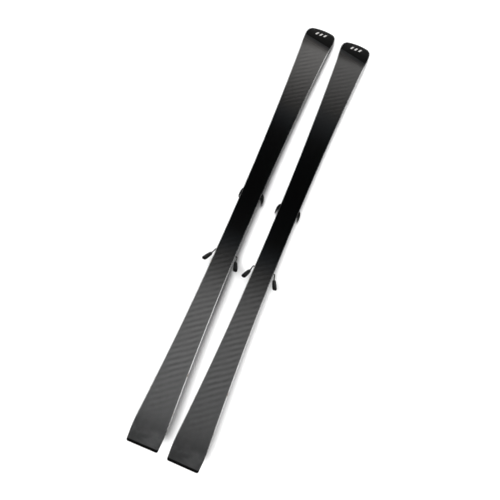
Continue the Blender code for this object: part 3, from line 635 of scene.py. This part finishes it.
def insert_grid(node, front):
    """Points under the tip, from the insert's slanted start to its front."""
    grid = []
    for i in range(INSERT_ROWS + 1):
        row = []
        for j in range(-INSERT_ROWS, INSERT_ROWS + 1):
            across = j / INSERT_ROWS
            start = INSERT_START - INSERT_SLANT * across * half_width(node, INSERT_START)
            x = start + (front - start) * i / INSERT_ROWS
            row.append(Vector((x, across * (half_width(node, x) - INSERT_MARGIN), -CAST_FROM)))
        grid.append(row)
    return grid


def bar_corners(middle, low, high):
    """Corners of one slanted bar about a line along the ski."""
    half = BAR_WIDTH / 2
    plan = ((low, middle - half - BAR_LEAN), (high, middle - half + BAR_LEAN),
            (high, middle + half + BAR_LEAN), (low, middle + half - BAR_LEAN))
    return [(x, y, -CAST_FROM) for x, y in plan]


def tip_details(prefix):
    """The black insert let into the base at the tip, with three plain pale bars on it."""
    node = prefix + "base"
    front = ski_box(node)[1].x - INSERT_SETBACK
    work = bmesh.new()
    film(work, node, insert_grid(node, front), UP, INSERT_THICK)
    add_piece("tip_insert", work, prefix, "ski", "cap_plastic")
    work = bmesh.new()
    high = front - BAR_BACK
    for middle in (-BAR_SPACING, 0.0, BAR_SPACING):
        corners = bar_corners(middle, high - BAR_LENGTH, high)
        film(work, node, rows_between(corners, along=4, across=1), UP, BAR_RAISED)
    add_piece("tip_bars", work, prefix, "ski", "slide_plastic")


# ---------------------------------------------------------------- the binding's details

WINDOW_HALF_WIDTH = 0.0045      # of the pale windows that show the release setting
TICK_HALF_LENGTH = 0.0036
TICK_COUNT = 6
TOE_WINDOW = (0.090, 0.108)     # its rear and front end
TOE_TICKS = (0.0920, 0.0028)    # the first tick and the pitch
HEEL_WINDOW = (-0.348, -0.328)
HEEL_TICKS = (-0.3455, 0.0030)

TOE_RIBS = (0.086, 0.128)       # rear and front end of the ribs on the toe housing's sides
TOE_RIB_HEIGHTS = (0.0320, 0.0352, 0.0384)
TOE_RIB_DROP = 0.001            # how much lower their front ends are
TOE_TOP_RIBS = (0.056, 0.080)
TOE_TOP_RIB_Y = 0.0075
AFD_RIB_COUNT = 7
AFD_RIB_MARGIN = 0.006

WING_ROLLER_Y = 0.0402
WING_ROLLER_X = 0.0045          # from the rear end of the wing
WING_ROLLER = ((-0.0070, 0.0014), (-0.0066, 0.0021), (0.0066, 0.0021), (0.0070, 0.0014))  # height, radius
WING_RIBS = (0.006, 0.030)      # from the rear end of the wing
WING_RIB_HEIGHTS = (-0.0045, 0.0, 0.0045)

PIN_DOME = (0.0, 0.5, 0.9, 1.25, 1.45)      # angles up the dome from its rim, in radians
PIN_DOME_HEIGHT = 0.45          # of a full dome, in radii
HEEL_RIBS = (-0.3100, 0.0085, 4)            # first, pitch and count
HEEL_RIB_HEIGHTS = (0.0400, 0.0700)
HEEL_RIB_LEAN = 0.004
LEVER_GRIPS = (-0.3790, 0.0060, 4)
LEVER_GRIP_HALF_LENGTH = 0.018

TREAD_START = 0.008             # from the rear end of the pedal
TREAD_PITCH = 0.0085
TREAD_COUNT = 6
TREAD_HALF_LENGTH = 0.015
FOOT_RIBS = (0.45, 0.58, 0.71, 0.84)        # shares of the way down a foot
FOOT_RIB_REACH = 0.0022


def release_scale(prefix, label, body, window, ticks):
    """A pale window with dark ticks on the top of a housing."""
    housing = prefix + label + "_housing"
    rear, front = window
    plan = ((rear, -WINDOW_HALF_WIDTH), (front, -WINDOW_HALF_WIDTH),
            (front, WINDOW_HALF_WIDTH), (rear, WINDOW_HALF_WIDTH))
    work = bmesh.new()
    corners = [(x, y, CAST_FROM) for x, y in plan]
    film(work, housing, rows_between(corners, along=6, across=2), DOWN, raised=0.0003)
    add_piece(label + "_window", work, prefix, body, "slide_plastic")
    work = bmesh.new()
    cross_ribs(work, housing, series(*ticks, TICK_COUNT), TICK_HALF_LENGTH,
               width=0.0006, raised=0.0004, steps=2)
    add_piece(label + "_scale", work, prefix, body, "cap_plastic")


def toe_details(prefix):
    """Ribs and a scale window on the toe housing, and ribs on the plate under the boot."""
    housing = prefix + "toe_housing"
    rear, front = TOE_RIBS
    lines = [((rear, height), (front, height - TOE_RIB_DROP)) for height in TOE_RIB_HEIGHTS]
    work = bmesh.new()
    for side in SIDES:
        side_ribs(work, housing, side, lines, width=0.0011, raised=0.0005)
    for side in SIDES:
        ends = [(x, side * TOE_TOP_RIB_Y, CAST_FROM) for x in TOE_TOP_RIBS]
        strip(work, housing, ends, 0.0012, DOWN, raised=0.0005)
    add_piece("toe_ribs", work, prefix, "ski", "binding_plastic")
    release_scale(prefix, "toe", "ski", TOE_WINDOW, TOE_TICKS)
    plate = prefix + "afd_plate"
    low, high = ski_box(plate)
    pitch = (high.x - low.x) / (AFD_RIB_COUNT + 1)
    work = bmesh.new()
    cross_ribs(work, plate, series(low.x + pitch, pitch, AFD_RIB_COUNT), high.y - AFD_RIB_MARGIN,
               width=0.0016, raised=0.0006)
    add_piece("afd_ribs", work, prefix, "afd_plate", "slide_plastic")


def wing_details(prefix):
    """On each wing a steel roller where it meets the boot, and ribs round its outside."""
    for label in LABELS:
        wing = "toe_wing_" + label
        low, high = ski_box(prefix + wing)
        side = side_of(low, high)
        work = bmesh.new()
        place = (low.x + WING_ROLLER_X, side * WING_ROLLER_Y, WING_MIDDLE)
        turned(work, place, UP, WING_ROLLER, sides=20)
        add_piece("wing_roller_" + label, work, prefix, wing, "bright_steel")
        lines = [[(low.x + x, WING_MIDDLE + height) for x in WING_RIBS] for height in WING_RIB_HEIGHTS]
        work = bmesh.new()
        side_ribs(work, prefix + wing, side, lines, width=0.0012, raised=0.0004, steps=8)
        add_piece("wing_ribs_" + label, work, prefix, wing, "binding_plastic")


def pivot_pins(prefix, name, body, pivot, face, radius):
    """The two domed ends of a pin across the heel piece."""
    x, z = pivot
    dome = [(radius * PIN_DOME_HEIGHT * math.sin(angle), radius * math.cos(angle)) for angle in PIN_DOME]
    work = bmesh.new()
    for side in SIDES:
        turned(work, (x, side * face, z), (0, side, 0), dome)
    add_piece(name, work, prefix, body, "bright_steel")


def heel_details(prefix):
    """Pin heads on the heel piece, a scale window and ribs on its housing, and grip ribs on its lever."""
    pivot_pins(prefix, "heel_pins", "heel_jaw", HEEL_PIVOT, EAR_FACE, radius=0.0052)
    pivot_pins(prefix, "lever_pins", "heel_lever", LEVER_PIVOT, LEVER_FACE, radius=0.0036)
    release_scale(prefix, "heel", "heel_jaw", HEEL_WINDOW, HEEL_TICKS)
    bottom, top = HEEL_RIB_HEIGHTS
    lines = [((x, bottom), (x + HEEL_RIB_LEAN, top)) for x in series(*HEEL_RIBS)]
    work = bmesh.new()
    for side in SIDES:
        side_ribs(work, prefix + "heel_housing", side, lines, width=0.0012, raised=0.0003)
    add_piece("heel_ribs", work, prefix, "heel_jaw", "binding_plastic")
    work = bmesh.new()
    cross_ribs(work, prefix + "heel_lever", series(*LEVER_GRIPS), LEVER_GRIP_HALF_LENGTH,
               width=0.0020, raised=0.0007)
    add_piece("lever_grip", work, prefix, "heel_lever", "binding_plastic")


def foot_lines(low, high):
    """Slanted lines down a brake foot, which runs from the top front of its box to the bottom rear."""
    lines = []
    for share in FOOT_RIBS:
        x = high.x + share * (low.x - high.x)
        z = high.z + share * (low.z - high.z)
        lines.append(((x - FOOT_RIB_REACH, z + FOOT_RIB_REACH), (x + FOOT_RIB_REACH, z - FOOT_RIB_REACH)))
    return lines


def brake_details(prefix):
    """Treads on the brake's pedal, and ribs on each foot."""
    pedal = prefix + "brake_pedal"
    treads = series(ski_box(pedal)[0].x + TREAD_START, TREAD_PITCH, TREAD_COUNT)
    work = bmesh.new()
    cross_ribs(work, pedal, treads, TREAD_HALF_LENGTH, width=0.0022, raised=0.0007)
    add_piece("pedal_treads", work, prefix, "brake_pedal", "brake_plastic")
    for label in LABELS:
        foot = prefix + "brake_foot_" + label
        low, high = ski_box(foot)
        work = bmesh.new()
        side_ribs(work, foot, side_of(low, high), foot_lines(low, high),
                  width=0.0014, raised=0.0006, steps=3)
        add_piece("foot_ribs_" + label, work, prefix, "brake_arms", "brake_plastic")


# ---------------------------------------------------------------- fasteners

HEAD_SIDES = 24
PAN_HEAD = ((0.0, 1.0), (0.30, 1.0), (0.45, 0.93), (0.52, 0.80))    # height and radius, in radii
SOCKET_RADIUS = 0.50            # to the corners of the hexagonal socket, in radii of the head
SOCKET_ENDS = (0.52, 0.12)      # heights of its mouth and floor
PLATE_SCREW_RADIUS = 0.0030
CARRIER_SCREW_RADIUS = 0.0036
PLATE_SCREWS = (0.030, 0.075)   # from the rear end of the binding plate
PLATE_FRONT_SCREW = 0.035       # from its front end
PLATE_LEDGE = 0.0045            # height of the ledge they stand on above the plate's underside
PLATE_SCREW_Y = 0.0270
CARRIER_SCREW_Y = 0.0200
CARRIER_TOP = 0.0271            # height of the flat top of the toe and heel carriers
TOE_SCREWS = (0.30, 0.93)       # shares of the carrier's length from its rear end
HEEL_SCREWS = (0.08, 0.93)


def hexagon(corner_radius):
    """The reach to a hexagon's outline from its middle, all the way round."""
    sixth = math.tau / 6
    flat_radius = corner_radius * math.cos(sixth / 2)
    angles = [math.tau * i / HEAD_SIDES for i in range(HEAD_SIDES)]
    return [flat_radius / math.cos(angle % sixth - sixth / 2) for angle in angles]


def screw_head(work, centre, radius):
    """A pan head with a hexagonal socket, facing up from the ski."""
    rings = [ring(centre, UP, radius * height, [radius * share] * HEAD_SIDES) for height, share in PAN_HEAD]
    socket = hexagon(radius * SOCKET_RADIUS)
    rings += [ring(centre, UP, radius * height, socket) for height in SOCKET_ENDS]
    skin(work, rings)


def screw_rows(prefix, name, body, stations, aside, height, radius):
    """Screw heads two abreast, at each station along the ski."""
    work = bmesh.new()
    for x in stations:
        for side in SIDES:
            screw_head(work, (x, side * aside, height), radius)
    add_piece(name, work, prefix, body, "bright_steel")


def mounting_screws(prefix):
    """The heads of the screws that hold the plate and the toe and heel carriers."""
    low, high = ski_box(prefix + "binding_plate")
    rows = [low.x + rear for rear in PLATE_SCREWS] + [high.x - PLATE_FRONT_SCREW]
    screw_rows(prefix, "plate_screws", "ski", rows, PLATE_SCREW_Y, low.z + PLATE_LEDGE, PLATE_SCREW_RADIUS)
    for label, shares, body in (("toe", TOE_SCREWS, "ski"), ("heel", HEEL_SCREWS, "heel_carriage")):
        low, high = ski_box(prefix + label + "_base")
        rows = [low.x + share * (high.x - low.x) for share in shares]
        screw_rows(prefix, label + "_screws", body, rows, CARRIER_SCREW_Y, CARRIER_TOP, CARRIER_SCREW_RADIUS)


# ---------------------------------------------------------------- stage

CAMERA_PLACE = (-0.5089, -0.0617, 1.4860)
CAMERA_AIM = (-0.1533, 0.0007, 0.0600)
CAMERA_ROLL = math.radians(12.69)
CAMERA_LENS = 30.6

KEY_FROM = (-0.14, 0.11, 1.0)
KEY_STRENGTH = 3.2
KEY_ANGLE = math.radians(17.0)
OVERHEAD = (("rear_panel", (-1.04, 0.46), 1.7), ("front_panel", (3.06, 6.2), 1.7))  # ends in X, radiance
OVERHEAD_Z = 3.0
OVERHEAD_WIDTH = 1.6
SIDE_PANELS = (("panel_left", 1, 0.35), ("panel_right", -1, 1.8))                   # side, radiance
SIDE_PANEL_Y = 3.2
SIDE_PANEL_Z = 1.7
SIDE_PANEL_SIZE = (5.0, 2.4)
AMBIENT = 0.012
BACKDROP = 0.95
FLOOR_SIZE = 30.0
FLOOR_GREY = 0.90


def floor():
    bpy.ops.mesh.primitive_plane_add(size=FLOOR_SIZE)
    made = bpy.context.object
    made.name = "floor"
    paint = bpy.data.materials.new("floor_white")
    paint.use_nodes = True
    shader = paint.node_tree.nodes["Principled BSDF"]
    shader.inputs["Base Color"].default_value = grey(FLOOR_GREY)
    shader.inputs["Roughness"].default_value = 0.9
    made.data.materials.append(paint)


def place_light(name, kind, place, aim, power):
    light = bpy.data.lights.new(name, kind)
    light.energy = power
    made = bpy.data.objects.new(name, light)
    scene.collection.objects.link(made)
    made.location = place
    made.rotation_euler = (Vector(aim) - Vector(place)).to_track_quat("-Z", "Y").to_euler()
    return made


def panel(name, place, aim, size, radiance):
    """A rectangular soft box of the given brightness."""
    power = radiance * math.pi * size[0] * size[1]
    light = place_light(name, "AREA", place, aim, power).data
    light.shape = "RECTANGLE"
    light.size, light.size_y = size


def lights():
    """A key light from above, two soft boxes overhead with a dark gap between them, and two at the sides."""
    key = place_light("key", "SUN", KEY_FROM, (0.0, 0.0, 0.0), KEY_STRENGTH)
    key.data.angle = KEY_ANGLE
    key.visible_glossy = False
    for name, (rear, front), radiance in OVERHEAD:
        middle = (rear + front) / 2
        panel(name, (middle, 0.0, OVERHEAD_Z), (middle, 0.0, 0.0), (front - rear, OVERHEAD_WIDTH), radiance)
    for name, side, radiance in SIDE_PANELS:
        panel(name, (0.0, side * SIDE_PANEL_Y, SIDE_PANEL_Z), (0.0, 0.0, 0.0), SIDE_PANEL_SIZE, radiance)


def backdrop():
    """Pale to the camera, and nearly dark to the object, so that black surfaces stay black."""
    world = bpy.data.worlds.new("studio")
    scene.world = world
    world.use_nodes = True
    tree = world.node_tree
    seen = tree.nodes.new("ShaderNodeLightPath").outputs["Is Camera Ray"]
    strength = tree.nodes.new("ShaderNodeMapRange")
    strength.inputs["To Min"].default_value = AMBIENT
    strength.inputs["To Max"].default_value = BACKDROP
    tree.links.new(seen, strength.inputs["Value"])
    tree.links.new(strength.outputs["Result"], tree.nodes["Background"].inputs["Strength"])
    tree.nodes["Background"].inputs["Color"].default_value = grey(1.0)


def camera():
    data = bpy.data.cameras.new("camera")
    data.lens = CAMERA_LENS
    made = bpy.data.objects.new("camera", data)
    scene.collection.objects.link(made)
    place, aim = Vector(CAMERA_PLACE), Vector(CAMERA_AIM)
    looking = (aim - place).to_track_quat("-Z", "Y").to_matrix()
    rolled = looking @ Matrix.Rotation(CAMERA_ROLL, 3, "Z")
    made.matrix_world = Matrix.Translation(place) @ rolled.to_4x4()
    scene.camera = made


DETAILS = (tip_details, toe_details, wing_details, heel_details, brake_details, mounting_screws)

carry_nodes()
for prefix in SKIS:
    for add_details in DETAILS:
        add_details(prefix)
floor()
lights()
backdrop()
camera()
scene.view_settings.view_transform = "Standard"
